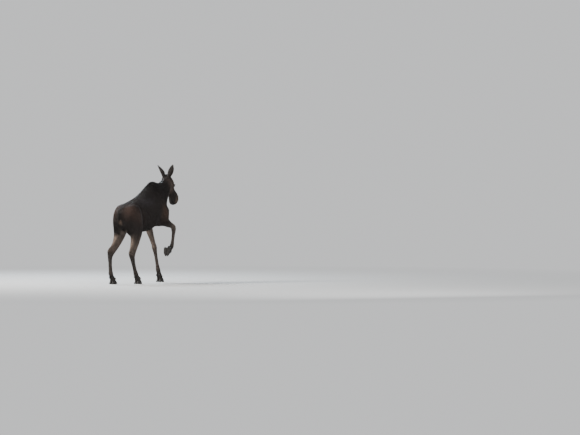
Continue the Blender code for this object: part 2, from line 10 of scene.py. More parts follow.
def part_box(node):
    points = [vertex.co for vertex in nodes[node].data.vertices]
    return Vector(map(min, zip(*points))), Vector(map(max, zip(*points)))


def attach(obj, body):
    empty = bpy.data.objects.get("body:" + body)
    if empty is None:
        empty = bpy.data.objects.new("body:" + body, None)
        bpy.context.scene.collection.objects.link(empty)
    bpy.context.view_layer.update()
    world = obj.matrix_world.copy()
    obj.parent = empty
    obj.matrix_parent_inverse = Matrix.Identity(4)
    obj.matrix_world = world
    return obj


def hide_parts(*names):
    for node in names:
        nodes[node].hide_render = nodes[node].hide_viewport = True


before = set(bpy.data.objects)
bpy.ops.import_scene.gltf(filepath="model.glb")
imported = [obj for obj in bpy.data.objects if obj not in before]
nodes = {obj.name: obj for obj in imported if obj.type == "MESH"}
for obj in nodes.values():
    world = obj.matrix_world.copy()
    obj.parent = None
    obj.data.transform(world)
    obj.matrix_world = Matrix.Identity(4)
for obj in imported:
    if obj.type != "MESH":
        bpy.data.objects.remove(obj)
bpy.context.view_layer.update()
print("frame loaded:", len(nodes), "nodes")


# small helpers on arrays of points
def unit(v):
    return v / np.maximum(np.linalg.norm(v, axis=-1, keepdims=True), 1e-12)


def ramp(low, high, x):
    t = np.clip((x - low) / (high - low), 0, 1)
    return t * t * (3 - 2 * t)


def blob(points, centre, radii):
    # 1 at the centre, falling smoothly to 0 at the ellipsoid's edge
    d = np.linalg.norm((points - centre) / radii, axis=1)
    return 1 - ramp(0.0, 1.0, d)


def tint(colours, colour, weight):
    # lays a colour over others by a weight for each point
    return colours + (np.array(colour) - colours) * np.clip(weight, 0, 1)[:, None]


def lineDistance(points, line):
    best = np.full(len(points), 1e9)
    for a, b in zip(line, line[1:]):
        a, b = np.array(a), np.array(b)
        t = np.clip((points - a) @ (b - a) / ((b - a) @ (b - a)), 0, 1)
        best = np.minimum(best, np.linalg.norm(points - (a + t[:, None] * (b - a)), axis=1))
    return best


def centreOf(name):
    low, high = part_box(name)
    return np.array((low + high) / 2)


def onSide(point, side):
    return np.array(point) * (1, side, 1)


bothSides = (("left", 1), ("right", -1))


# small helpers on objects and meshes
def addObject(name, data):
    thing = bpy.data.objects.new(name, data)
    bpy.context.scene.collection.objects.link(thing)
    return thing


def meshObject(name, bm):
    mesh = bpy.data.meshes.new(name)
    bm.to_mesh(mesh)
    bm.free()
    return addObject(name, mesh)


def mergedCopy(*names):
    bm = bmesh.new()
    for name in names:
        bm.from_mesh(nodes[name].data)
    bmesh.ops.remove_doubles(bm, verts=bm.verts, dist=0.00005)
    return bm


def addModifier(thing, kind, **settings):
    modifier = thing.modifiers.new(kind.lower(), kind)
    for key, value in settings.items():
        setattr(modifier, key, value)


def addWeighted(thing, kind, weights, **settings):
    # a modifier that works on each point by its weight
    group = thing.vertex_groups.new()
    steps = np.round(weights * 20).astype(int)
    for step in range(1, 21):
        group.add(np.nonzero(steps == step)[0].tolist(), step / 20, "REPLACE")
    addModifier(thing, kind, vertex_group=group.name, **settings)


def settle(thing):
    # applies what modifiers the object has
    graph = bpy.context.evaluated_depsgraph_get()
    mesh = bpy.data.meshes.new_from_object(thing.evaluated_get(graph))
    thing.modifiers.clear()
    thing.data = mesh
    thing.vertex_groups.clear()


def pointsOf(thing):
    return np.array([v.co for v in thing.data.vertices])


def normalsOf(thing):
    return np.array([normal.vector for normal in thing.data.vertex_normals])


# the camera, far off with a long lens, looking at the animal from behind its right side
view = {
    "azimuth": -62,
    "elevation": 1.0,
    "distance": 100,
    "frameWidth": 10.0,  # what the picture spans at the animal
    "across": 2.476,
    "height": 1.129,
    "sensor": 36,
}


def makeCamera():
    a, e = math.radians(view["azimuth"]), math.radians(view["elevation"])
    back = Vector((math.sin(a) * math.cos(e), -math.cos(a) * math.cos(e), math.sin(e)))
    right = Vector((math.cos(a), math.sin(a), 0))
    data = bpy.data.cameras.new("viewCamera")
    data.sensor_width = view["sensor"]
    data.lens = view["sensor"] * view["distance"] / view["frameWidth"]
    data.clip_end = 3 * view["distance"]
    camera = addObject("viewCamera", data)
    target = right * view["across"] + Vector((0, 0, view["height"]))
    camera.location = target + back * view["distance"]
    camera.rotation_mode = "QUATERNION"
    camera.rotation_quaternion = (-back).to_track_quat("-Z", "Y")
    bpy.context.scene.camera = camera


makeCamera()

# landmarks of the head, taken from the eyes
headShape = {"pitch": 48, "yaw": 4, "eyeAlong": 0.226, "eyeUp": -0.042}
headTurn = np.array(
    Matrix.Rotation(math.radians(headShape["yaw"]), 3, "Z")
    @ Matrix.Rotation(math.radians(headShape["pitch"]), 3, "Y")
)
eyeCentres = {side: centreOf("eye_" + side) for side in ("left", "right")}
poll = (eyeCentres["left"] + eyeCentres["right"]) / 2
poll = poll - headTurn @ (headShape["eyeAlong"], 0, headShape["eyeUp"])


def headPoint(along, side, up):
    return poll + headTurn @ (along, side, up)


def headPlace(points):
    # along the head from the poll, to the left, and above the poll line
    return (points - poll) @ headTurn


# the flesh: which node a point belongs to, and how the coat lies there
chains = {
    "front_left": ["forearm", "cannon", "pastern"],
    "front_right": ["forearm", "cannon", "pastern"],
    "hind_left": ["thigh", "shank", "cannon", "pastern"],
    "hind_right": ["thigh", "shank", "cannon", "pastern"],
}
legNodes = [leg + "_" + part for leg, parts in chains.items() for part in parts]
fleshNodes = ["trunk", "neck", "head", "tail", "ear_left", "ear_right"] + legNodes
thighWay = (-0.25, 0, -0.97)


def limbWay(name):
    # a leg node's long direction, pointing down the limb
    leg, part = name.rsplit("_", 1)
    if part == "thigh":
        return np.array(thighWay)
    row = [leg + "_" + p for p in chains[leg]] + ["claw_" + leg + "_outer"]
    i = row.index(name)
    before, after = (pointsOf(nodes[n]).mean(0) for n in (row[max(i - 1, 0)], row[i + 1]))
    points = pointsOf(nodes[name])
    points = points - points.mean(0)
    way = np.linalg.eigh(points.T @ points)[1][:, -1]
    return way * np.sign(way @ (after - before))


def earWay(name):
    points = pointsOf(nodes[name])
    low = points[points[:, 2] < np.percentile(points[:, 2], 15)].mean(0)
    high = points[points[:, 2] > np.percentile(points[:, 2], 95)].mean(0)
    return unit(high - low)


def fleshTree():
    verts, faces, owners = [], [], []
    for name in fleshNodes:
        start = len(verts)
        mesh = nodes[name].data
        verts += [v.co.copy() for v in mesh.vertices]
        faces += [[start + k for k in p.vertices] for p in mesh.polygons]
        owners += [name] * len(mesh.polygons)
    return BVHTree.FromPolygons(verts, faces), np.array(owners)


flesh, owners = fleshTree()


def partNames(points):
    found = [flesh.find_nearest(Vector(p))[2] for p in points]
    return owners[np.array(found)]


# one skin over all the flesh
skinShape = {
    "voxel": 0.0042,
    "faces": 62000,  # before the head is divided more finely
    "easeFine": 10,
    "easeBody": 30,
    "easeEars": 0.5,
    "thinHead": 0.12,
    # where the faces are made finer, in head measures: the eye, and the nose with the mouth
    "fine": [
        ((0.226, 0.075, -0.042), (0.06, 0.05, 0.05)),
        ((0.5, 0.04, -0.07), (0.12, 0.07, 0.15)),
    ],
}


def makeSkin():
    shape = skinShape
    skin = meshObject("skin", mergedCopy(*fleshNodes))
    addModifier(skin, "REMESH", mode="VOXEL", voxel_size=shape["voxel"])
    settle(skin)
    fused = len(skin.data.polygons)
    names = partNames(pointsOf(skin))
    isEar = np.isin(names, ["ear_left", "ear_right"])
    weights = np.where(isEar, shape["easeEars"], 1.0)
    addWeighted(skin, "SMOOTH", weights, factor=0.5, iterations=shape["easeFine"])
    weights = np.where(isEar | (names == "head"), shape["thinHead"], 1.0)
    addWeighted(skin, "DECIMATE", weights, ratio=shape["faces"] / fused)
    settle(skin)
    names = partNames(pointsOf(skin))
    isBody = np.isin(names, ["trunk", "neck"]) | np.char.endswith(names, "thigh")
    addWeighted(skin, "SMOOTH", isBody * 1.0, factor=0.5, iterations=shape["easeBody"])
    settle(skin)
    return skin


def subdivideDetail(skin):
    # finer faces where the eyes, nostrils and mouth go
    bm = bmesh.new()
    bm.from_mesh(skin.data)
    place = headPlace(pointsOf(skin))
    zone = np.zeros(len(place))
    for side in (1, -1):
        for centre, radii in skinShape["fine"]:
            zone += blob(place, onSide(centre, side), radii)
    chosen = set(np.nonzero(zone > 0.02)[0].tolist())
    edges = [e for e in bm.edges if e.verts[0].index in chosen and e.verts[1].index in chosen]
    bmesh.ops.subdivide_edges(bm, edges=edges, cuts=1, smooth=0.0, use_grid_fill=True)
    bmesh.ops.triangulate(bm, faces=bm.faces)
    bm.to_mesh(skin.data)
    bm.free()


skin = makeSkin()
subdivideDetail(skin)
print("skin made:", len(skin.data.vertices), "points,", len(skin.data.polygons), "faces")

# what is known at every point of the skin
outline = pointsOf(skin)
outward = normalsOf(skin)
names = partNames(outline)
parts = np.array([n.rsplit("_", 1)[-1] if n in legNodes else n.split("_")[0] for n in names])
place = headPlace(outline)
edgeEnds = np.array([edge.vertices[:] for edge in skin.data.edges])
neighbours = np.maximum(np.bincount(edgeEnds.ravel(), minlength=len(outline)), 1)


def spread(field, rounds):
    # evens a field out over the skin, from point to neighbouring point
    a, b = edgeEnds.T
    n = len(outline)
    flat = field.reshape(n, -1).astype(float)
    for _ in range(rounds):
        near = [np.bincount(a, f[b], n) + np.bincount(b, f[a], n) for f in flat.T]
        flat = 0.5 * flat + 0.5 * np.stack(near, 1) / neighbours[:, None]
    return flat.reshape(field.shape)


# the coat, by part: length, width, spacing and depth of the tufts, in metres
coatShape = {
    "trunk": (0.03, 0.0043, 0.0076, 0.0072),
    "neck": (0.038, 0.0047, 0.008, 0.0095),
    "thigh": (0.027, 0.0041, 0.0073, 0.0064),
    "shank": (0.022, 0.0036, 0.0064, 0.005),
    "forearm": (0.021, 0.0036, 0.0064, 0.0045),
    "cannon": (0.016, 0.0028, 0.005, 0.003),
    "pastern": (0.018, 0.0028, 0.0046, 0.0035),
    "tail": (0.06, 0.005, 0.0056, 0.008),
    "head": (0.0115, 0.002, 0.0037, 0.0022),
    "ear": (0.014, 0.0019, 0.004, 0.0016),
}
maneShape = {
    "length": 0.08,
    "width": 0.0068,
    "spacing": 0.0125,
    "depth": 0.017,
    "short": (0.034, 0.0052),  # length and width where it fades out
    "from": 0.12,
    "closer": 1.6,
    "thinned": 0.35,
}

# the flank's fold, from the hip down the front of the thigh: along and up, a groove with a rise behind
foldShape = {
    "line": [(-0.66, 1.385), (-0.56, 1.345), (-0.505, 1.265), (-0.5, 1.17)]
    + [(-0.485, 1.07), (-0.475, 0.97), (-0.46, 0.9)],
    "thigh": (-0.72, 1.12),
    "groove": (0.022, 0.034, 0.013),  # shift off the line, half width and depth
    "ridge": (-0.014, 0.03, 0.004),
    "hollow": ((-0.4, 0.2, 1.27), (0.15, 0.14, 0.15), 0.009),  # the flank's: place, radii and depth
}


def foldFields():
    # groove and ridge weights; each line is the fold moved off the thigh's middle
    onBody = np.isin(parts, ["trunk", "thigh"]) * ramp(0.06, 0.13, np.abs(outline[:, 1]))
    height = outline[:, 2]
    onBody = onBody * ramp(0.86, 1.04, height) * (1 - ramp(1.33, 1.42, height))
    fields = []
    for word in ("groove", "ridge"):
        shift, halfWidth, _ = foldShape[word]
        away = np.array(foldShape["line"]) - foldShape["thigh"]
        moved = foldShape["thigh"] + away + unit(away) * shift
        distance = lineDistance(outline[:, [0, 2]], moved)
        fields.append((1 - ramp(0.0, 1.0, distance / halfWidth)) * onBody)
    return fields


groove, ridge = foldFields()


def maneWeight():
    # the long hair: from the poll down the crest, over the hump and fading along the back
    x, y, _ = outline.T
    top = ramp(0.35, 0.85, outward[:, 2]) * (1 - ramp(0.05, 0.17, np.abs(y)))
    reach = ramp(-0.25, 0.12, x) * (1 - ramp(0.6, 0.7, x))
    crest = (parts == "neck") * ramp(0.0, 0.5, outward[:, 2]) * (1 - ramp(0.06, 0.14, np.abs(y)))
    return spread(np.clip(top * reach * (parts != "head") + crest, 0, 1), 12)


def coatWays():
    # the lie of the coat: nose to poll, down the neck, back along the body and down the limbs
    x, _, z = outline.T
    along, _, height = place.T
    up = outward[:, 2]
    trunk, neck, head = (parts == word for word in ("trunk", "neck", "head"))
    foldX, foldZ = np.array(foldShape["line"][::-1]).T
    rearJaw = head & (along < 0.3) & (height < -0.1)
    lies = [
        (trunk, (-1.0, 0, -0.35)),
        (trunk & (x < np.interp(z, foldZ, foldX)), (-0.35, 0, -1.0)),  # rump
        (trunk & (up > 0.6) & (x >= -0.62), (-1.0, 0, 0.0)),  # back
        (trunk & (x > 0.38) & (up < 0.5), (-0.3, 0, -1.0)),  # chest
        (trunk & (x > 0.15) & (x <= 0.38) & (up < 0.5), (-0.75, 0, -0.8)),  # shoulder
        (neck, (-0.85, 0, -0.75)),
        (neck & (up > 0.5), (-1.0, 0, -0.1)),
        (head, -headTurn[:, 0]),
        (head & (along < 0.1), (-0.9, 0, -0.2)),
        (rearJaw, (-1.0, 0, -0.1)),
        (rearJaw & (outward @ headTurn[:, 0] > 0.3), (-0.5, 0, -1.0)),
        (parts == "tail", (-0.1, 0, -1.0)),
    ]
    ways = np.zeros_like(outline)
    for where, way in lies:
        ways[where] = way
    for name in legNodes:
        ways[names == name] = limbWay(name)
    for name in ("ear_left", "ear_right"):
        ways[names == name] = earWay(name)
    for _ in range(3):
        ways = spread(unit(ways), 14)
        ways = unit(ways - outward * (ways * outward).sum(1, keepdims=True))
    return ways


mane = maneWeight()
ways = coatWays()
nape = {"centre": (0.679, 0, 1.67), "way": (0.99, 0, 0.13), "blend": 0.075}  # where the head's coat begins
headOrNeck = np.isin(parts, ["head", "neck"])
headness = ramp(-nape["blend"], nape["blend"], (outline - nape["centre"]) @ nape["way"])
headness = np.where(headOrNeck, headness, 0.0)
sizes = np.array([coatShape[p] for p in parts])
joined = np.outer(1 - headness, coatShape["neck"]) + np.outer(headness, coatShape["head"])
sizes = np.where(headOrNeck[:, None], joined, sizes)
sizes = spread(sizes, 10)
muzzle = ramp(0.36, 0.5, place[:, 0]) * (parts == "head")
sizes[:, 0] *= 1 - 0.35 * muzzle
depth = sizes[:, 3] * (1 - mane) + maneShape["depth"] * mane
depth = spread(depth, 6)

# longer hair flares out over the hooves, and shorter hair lies closer round the eyes
fringeShape = {"from": 0.03, "full": 0.01, "proud": 0.004, "longer": 0.9}
nearEye = {"from": 0.075, "full": 0.03, "length": 0.45, "spacing": 0.7}
fringe = np.zeros(len(outline))
for leg in chains:
    chosen = names == leg + "_pastern"
    along = outline @ limbWay(leg + "_pastern")
    toTip = along[chosen] - along[chosen].max()
    fringe[chosen] = ramp(-fringeShape["from"], -fringeShape["full"], toTip)
depth = depth * (1 - fringe) - fringeShape["proud"] * fringe
sizes[:, 0] *= 1 + fringeShape["longer"] * fringe
fromEye = np.min([np.linalg.norm(outline - c, axis=1) for c in eyeCentres.values()], axis=0)
clearOfEye = ramp(nearEye["full"], nearEye["from"], fromEye)
sizes[:, 0] *= nearEye["length"] + (1 - nearEye["length"]) * clearOfEye
sizes[:, 2] *= nearEye["spacing"] + (1 - nearEye["spacing"]) * clearOfEye
print("coat laid out")

# the head's own detail, in head measures: along, to the side, up
faceShape = {
    "nostril": (0.527, 0.052, -0.052),
    "nostrilSize": (0.034, 0.0155),
    "nostrilLean": 35,
    "nostrilDepth": 0.026,
    "mouthDepth": 0.008,
    "mouthHalfWidth": 0.009,
    "lipHalfWidth": 0.022,
    "brow": ((0.205, 0.074, -0.008), (0.055, 0.04, 0.032)),
    "browRise": 0.003,
    "rimRise": 0.003,
    "tear": [(0.246, 0.082, -0.052), (0.285, 0.075, -0.07)],
    "tearHalfWidth": 0.008,
    "tearDepth": 0.002,
    "shorterAtEdges": 0.5,
    "closerAtEdges": 0.3,
}
# the mouth from its corner forward, along the head and up, on whatever is the surface there
mouthLine = [(0.375, -0.126), (0.41, -0.132), (0.45, -0.142), (0.48, -0.158), (0.491, -0.178)]


def onSurface(along, up, side):
    near = (np.hypot(place[:, 0] - along, place[:, 2] - up) < 0.007) & (place[:, 1] * side > 0)
    return np.array((along, side * np.abs(place[near & (parts == "head"), 1]).max(), up))


def faceFields():
    # weights for the nostrils and their rims, the mouth, lips, brow and tear line
    face = faceShape
    nostril, rim, mouth, lips, brow, tearLine = np.zeros((6, len(outline)))
    lean = math.radians(face["nostrilLean"])
    for side in (1, -1):
        d = place - onSide(face["nostril"], side)
        a = d[:, 0] * math.cos(lean) - d[:, 2] * math.sin(lean)
        u = d[:, 0] * math.sin(lean) + d[:, 2] * math.cos(lean)
        r = np.sqrt((a / face["nostrilSize"][0]) ** 2 + (u / face["nostrilSize"][1]) ** 2)
        near = np.abs(d[:, 1]) < 0.045
        nostril += (1 - ramp(0.55, 1.15, r)) * near
        rim += (ramp(0.8, 1.2, r) * (1 - ramp(1.2, 2.2, r))) * near
        line = [onSurface(*p, side) for p in mouthLine] + [np.array((0.492, 0, -0.19))]
        d = lineDistance(place, line)
        mouth += 1 - ramp(0.15, 1.0, d / face["mouthHalfWidth"])
        lips += 1 - ramp(0.3, 1.0, d / face["lipHalfWidth"])
        brow += blob(place, onSide(face["brow"][0], side), face["brow"][1])
        tear = [onSide(point, side) for point in face["tear"]]
        tearLine += 1 - ramp(0.0, 1.0, lineDistance(place, tear) / face["tearHalfWidth"])
    head = parts == "head"
    return [np.clip(f, 0, 1) * head for f in (nostril, rim, mouth, lips, brow, tearLine)]


nostril, nostrilRim, mouth, lips, brow, tearLine = faceFields()
bareEdge = np.maximum(lips, nostrilRim)
sizes[:, 0] *= 1 - faceShape["shorterAtEdges"] * bareEdge
sizes[:, 2] *= 1 - faceShape["closerAtEdges"] * bareEdge
inward = depth + faceShape["nostrilDepth"] * nostril + faceShape["mouthDepth"] * mouth
inward = inward + faceShape["tearDepth"] * tearLine
inward = inward - faceShape["browRise"] * brow - faceShape["rimRise"] * nostrilRim
inward = inward + foldShape["groove"][2] * groove - foldShape["ridge"][2] * ridge
hollowCentre, hollowRadii, hollowDepth = foldShape["hollow"]
for side in (1, -1):
    inward = inward + hollowDepth * blob(outline, onSide(hollowCentre, side), hollowRadii)
hide = outline - outward * inward[:, None]
skin.data.vertices.foreach_set("co", hide.ravel())
skin.data.update()
hide = pointsOf(skin)
hideNormals = normalsOf(skin)

# markings, shared by the skin and the coat; some tones among them are painted light, noted where they stand
marks = {
    "body": (0.0185, 0.0142, 0.013),
    "mane": (0.007, 0.0056, 0.0054),
    "belly": (0.015, 0.0116, 0.0102),
    # partly the haunch's reddish-brown hair, partly a painted sheen on it
    "rump": (0.072, 0.044, 0.034),
    # painted sheen: a bluish gleam of light on the upper flank
    "sheen": (0.048, 0.043, 0.047),
    # painted highlight along the ridge of the flank's fold
    "fold": (0.06, 0.055, 0.058),
    "shoulder": (0.056, 0.036, 0.027),
    "groin": (0.12, 0.094, 0.078),
    "underTail": (0.15, 0.108, 0.082),
    "legs": (0.105, 0.079, 0.064),
    # the legs' paler rear: partly their own pale hair, partly a painted highlight of light from behind
    "legRear": (0.24, 0.178, 0.138),
    "lowLegs": (0.034, 0.027, 0.024),
    "feet": (0.03, 0.025, 0.022),
    "face": (0.05, 0.036, 0.029),
    "forehead": (0.058, 0.038, 0.028),
    "cheek": (0.066, 0.047, 0.038),
    "noseBridge": (0.017, 0.0135, 0.012),
    "muzzle": (0.084, 0.06, 0.048),
    "lips": (0.018, 0.015, 0.014),
    # painted shade: near-black for the hollows of the nostrils and the mouth slit
    "nostril": (0.004, 0.003, 0.003),
    "eyeRing": (0.058, 0.043, 0.035),
    "earBack": (0.022, 0.017, 0.0145),
    "earInside": (0.13, 0.098, 0.082),
}
# patches on both flanks: tone, strength, place and radii
flankMarks = [
    # the two rump patches: the haunch's reddish-brown hair with a painted sheen over it
    ("rump", 0.9, (-0.8, 0.13, 1.25), (0.26, 0.16, 0.24)),
    ("rump", 0.4, (-0.62, 0.2, 1.18), (0.26, 0.16, 0.26)),
    ("shoulder", 0.9, (0.3, 0.21, 1.22), (0.2, 0.16, 0.24)),
    # painted sheen, a bluish gleam of light along the upper flank and back
    ("sheen", 0.55, (-0.28, 0.17, 1.42), (0.36, 0.16, 0.16)),
]
tailMark = ((0.02, 0, -0.1), (0.1, 0.05, 0.1))
nosePad = ((0.56, 0, -0.075), (0.03, 0.03, 0.045))  # these two in head measures
eyeMark = ((0.232, 0.08, -0.045), (0.06, 0.04, 0.042))


def layOver(base, layers):
    colour = np.tile(marks[base], (len(outline), 1))
    for tone, weight in layers:
        colour = tint(colour, marks[tone], weight)
    return colour


earHair = {"slice": 0.012, "stand": 0.006, "longer": 1.3}


def earInside():
    # 1 on the hollow side of each ear: the surface there faces the ear's own middle line
    inside = np.zeros(len(outline))
    for name in ("ear_left", "ear_right"):
        chosen = names == name
        points, facing = outline[chosen], outward[chosen]
        way = earWay(name)
        steps = np.round((points @ way) / earHair["slice"]).astype(int)
        middle = np.zeros_like(points)
        for step in np.unique(steps):
            middle[steps == step] = points[steps == step].mean(0)
        towards = unit(middle - points)
        inside[chosen] = ramp(0.15, 0.6, (towards * facing).sum(1))
    return spread(inside, 2)


inEar = earInside()


def coatColours():
    x, y, z = outline.T
    nx, ny, nz = outward.T
    along, _, up = place.T
    upperHind = np.isin(parts, ["thigh", "shank"])
    lowParts = np.isin(parts, ["cannon", "pastern"])
    hindLow = np.char.startswith(names, "hind") & np.isin(parts, ["cannon", "shank"])
    hock = hindLow * ramp(0.16, 0.3, z) * (1 - ramp(0.5, 0.64, z))
    legTone = upperHind * (1 - ramp(0.66, 0.86, z)) + (parts == "forearm") * 0.85
    legTone = np.clip(spread(np.maximum(legTone, lowParts), 20), 0, 1)
    body = [("belly", ramp(0.1, 0.8, -nz))]
    for side in (1, -1):
        for tone, strength, centre, radii in flankMarks:
            body.append((tone, strength * blob(outline, onSide(centre, side), radii)))
    body += [
        # painted highlight on the fold's ridge
        ("fold", 0.65 * ridge),
        # painted shade in the fold's groove
        ("mane", 0.7 * groove),
        ("mane", 0.75 * ramp(0.2, 0.9, nz) * ramp(-0.5, 0.1, x)),
        ("mane", 0.55 * (parts == "neck")),
        ("mane", mane),
        ("groin", 0.8 * upperHind * ramp(0.2, 0.8, -ny * np.sign(y))),
        ("underTail", blob(outline, centreOf("tail") + tailMark[0], tailMark[1])),
        ("mane", 0.5 * (parts == "tail")),
        ("legs", legTone),
        # paler rear of the shanks and forearms: partly pale hair, partly painted highlight of light from
        # behind
        ("legRear", 0.8 * spread(parts == "shank", 14) * ramp(0.3, 0.9, -nx)),
        ("legRear", 0.35 * spread(parts == "forearm", 10) * ramp(0.2, 0.9, -nx)),
        ("lowLegs", 0.62 * spread(lowParts, 24)),
        ("feet", 0.75 * spread(hock, 16)),
        ("feet", spread(parts == "pastern", 16)),
    ]
    face = [
        ("forehead", (1 - ramp(0.01, 0.05, -up)) * (1 - ramp(0.18, 0.28, along))),
        ("cheek", ramp(0.05, 0.1, -up) * (1 - ramp(0.22, 0.34, along))),
        ("mane", 0.85 * (1 - ramp(0.03, 0.1, along)) * ramp(-0.13, -0.05, up)),
        ("noseBridge", 0.85 * ramp(0.25, 0.36, along) * (1 - ramp(0.43, 0.52, along))),
        ("muzzle", ramp(0.43, 0.52, along) * ramp(-0.19, -0.12, up)),
        ("lips", ramp(0.16, 0.185, -up) * ramp(0.36, 0.42, along)),
        ("lips", blob(place, *nosePad)),
        ("eyeRing", 0.7 * blob(place, *eyeMark)),
        ("eyeRing", 0.7 * blob(place, onSide(eyeMark[0], -1), eyeMark[1])),
        ("lips", 0.75 * bareEdge),
        # painted shade: near-black in the nostrils and along the mouth slit
        ("nostril", np.maximum(nostril, 0.85 * mouth)),
        ("lips", 0.7 * tearLine),
    ]
    colour = layOver("body", body)
    colour += (layOver("face", face) - colour) * spread(headness, 4)[:, None]
    colour += (layOver("earBack", [("earInside", inEar)]) - colour) * (parts == "ear")[:, None]
    return colour


colours = coatColours()
lift = np.maximum(depth, 0.002) + earHair["stand"] * inEar
sizes[:, 0] *= 1 + earHair["longer"] * inEar
print("markings done")


# eyelids: the skin runs up over each eyeball to an almond opening, and folds in behind it
lidShape = {
    "outer": 0.0243,
    "inner": 0.0214,
    "long": 56,  # the opening's half angles: along the lids, up and down
    "high": 46,
    "low": 33,
    "corner": 1.7,
    "reach": 0.031,
    "round": 2.2,
    "steps": (0.12, 0.26, 0.42, 0.58, 0.74, 0.88, 1.0),
}
lidTone = (0.012, 0.01, 0.009)
eyeWay = unit(np.array((0.22, 0.95, 0.12)))  # out of the left eye, in head measures
lidWay = (0.95, 0, 0.06)  # from corner to corner


def eyeTurn(side):
    # columns: along the lids, up across them, and out of the eye
    out = headTurn @ onSide(eyeWay, side)
    along = headTurn @ lidWay
    along = unit(along - out * (along @ out))
    up = np.cross(along, out) * side
    return np.stack([along, up, out], 1)


def lidOpening(turn):
    # the opening's half angle in each direction round the eye
    high = lidShape["high"] if math.sin(turn) > 0 else lidShape["low"]
    power = lidShape["corner"]
    share = abs(math.cos(turn) / lidShape["long"]) ** power + abs(math.sin(turn) / high) ** power
    return math.radians(share ** (-1 / power))


def lidReach(share, start):
    # distance from the eye's centre, from the skin's edge to the lid's edge
    return start + (lidShape["outer"] - start) * (1 - (1 - share) ** lidShape["round"])


def aroundEye(phi, far):
    # the way out of the eye at a turn round it and an angle off its middle
    return np.stack([np.cos(phi) * np.sin(far), np.sin(phi) * np.sin(far), np.cos(far)], -1)


def holeLoop(bm, centre):
    # the one ring of boundary points round the eye, in order
    while True:
        rim = [v for v in bm.verts if v.is_boundary and (v.co - centre).length < 2 * lidShape["reach"]]
        pinched = [v for v in rim if sum(e.is_boundary for e in v.link_edges) != 2]
        if not pinched:
            break
        bmesh.ops.delete(bm, geom=pinched, context="VERTS")
    loops = []
    while rim:
        loop = []
        ahead = [rim[-1]]
        while ahead:
            loop.append(ahead[0])
            rim.remove(ahead[0])
            near = [e.other_vert(ahead[0]) for e in ahead[0].link_edges if e.is_boundary]
            ahead = [v for v in near if v in rim]
        loops.append(loop)
    return max(loops, key=len)


lidRims = {}


def growLids(bm, layer, word, side):
    shape = lidShape
    centre = Vector(eyeCentres[word])
    turn = eyeTurn(side)
    gone = [v for v in bm.verts if (v.co - centre).length < shape["reach"]]
    bmesh.ops.delete(bm, geom=gone, context="VERTS")
    loop = holeLoop(bm, centre)
    around = []
    for v in loop:
        a, u, o = np.array(v.co - centre) @ turn
        around.append((math.atan2(u, a), math.atan2(math.hypot(a, u), o), (v.co - centre).length))
    lidRims[word] = np.array(sorted(around))
    # rings of points: share of the way to the opening, extra angle, and distance if it isn't the lid's own
    rings = [(share, 0, None) for share in shape["steps"]]
    rings += [(1, -1.6, shape["outer"] - 0.0007), (1, -2.2, (shape["outer"] + shape["inner"]) / 2)]
    rings += [(1, -1.2, shape["inner"] + 0.0004), (1, 6, shape["inner"])]
    rings += [(0, angle, shape["inner"]) for angle in (75, 105, 140)]  # behind the eyeball
    before = loop
    for share, extra, radius in rings:
        ring = []
        for (phi, theta, start), edge in zip(around, loop):
            far = theta + (lidOpening(phi) - theta) * share if share else 0
            local = aroundEye(phi, far + math.radians(extra))
            v = bm.verts.new(Vector(eyeCentres[word] + turn @ local * (radius or lidReach(share, start))))
            dark = float(ramp(0.35, 0.95, share or 1))
            v[layer] = edge[layer].lerp((*lidTone, 1), dark)
            ring.append(v)
        for corners in zip(before, before[1:] + before[:1], ring[1:] + ring[:1], ring):
            bm.faces.new(corners)
        before = ring
    bm.faces.new(before)


# materials
def setInputs(material, node, values):
    # a value is a number, a vector, a colour or another node's output
    for key, value in values.items():
        if isinstance(value, bpy.types.NodeSocket):
            material.node_tree.links.new(value, node.inputs[key])
        else:
            node.inputs[key].default_value = value


def addNode(material, kind, values, **settings):
    node = material.node_tree.nodes.new("ShaderNode" + kind)
    for key, value in settings.items():
        setattr(node, key, value)
    setInputs(material, node, values)
    return node


def newMaterial(name, roughness, specular):
    material = bpy.data.materials.new(name)
    material.use_nodes = True
    shader = material.node_tree.nodes["Principled BSDF"]
    setInputs(material, shader, {"Roughness": roughness, "Specular IOR Level": specular})
    return material, shader


def objectPlace(material):
    return addNode(material, "TexCoord", {}).outputs["Object"]


def addNoise(material, scale, detail, stretch=(1, 1, 1)):
    mapping = addNode(material, "Mapping", {"Vector": objectPlace(material), "Scale": stretch})
    values = {"Vector": mapping.outputs["Vector"], "Scale": scale, "Detail": detail}
    return addNode(material, "TexNoise", values).outputs["Fac"]


def addRamp(material, factor, low, high, fromLow=0.3, fromHigh=0.7):
    values = {"Value": factor, "From Min": fromLow, "From Max": fromHigh, "To Min": low, "To Max": high}
    return addNode(material, "MapRange", values).outputs["Result"]


def addMath(material, operation, first, second):
    return addNode(material, "Math", {0: first, 1: second}, operation=operation).outputs[0]


def addLength(material, vector):
    return addNode(material, "VectorMath", {0: vector}, operation="LENGTH").outputs["Value"]


def addMix(material, factor, first, second):
    values = {"Factor": factor, "A": first, "B": second}
    return addNode(material, "Mix", values, data_type="RGBA").outputs["Result"]


def addBump(material, shader, height, strength, distance):
    values = {"Height": height, "Strength": strength, "Distance": distance}
    setInputs(material, shader, {"Normal": addNode(material, "Bump", values).outputs["Normal"]})


def scaleColour(material, colour, factor):
    values = {0: colour, "Scale": factor}
    return addNode(material, "VectorMath", values, operation="SCALE").outputs["Vector"]


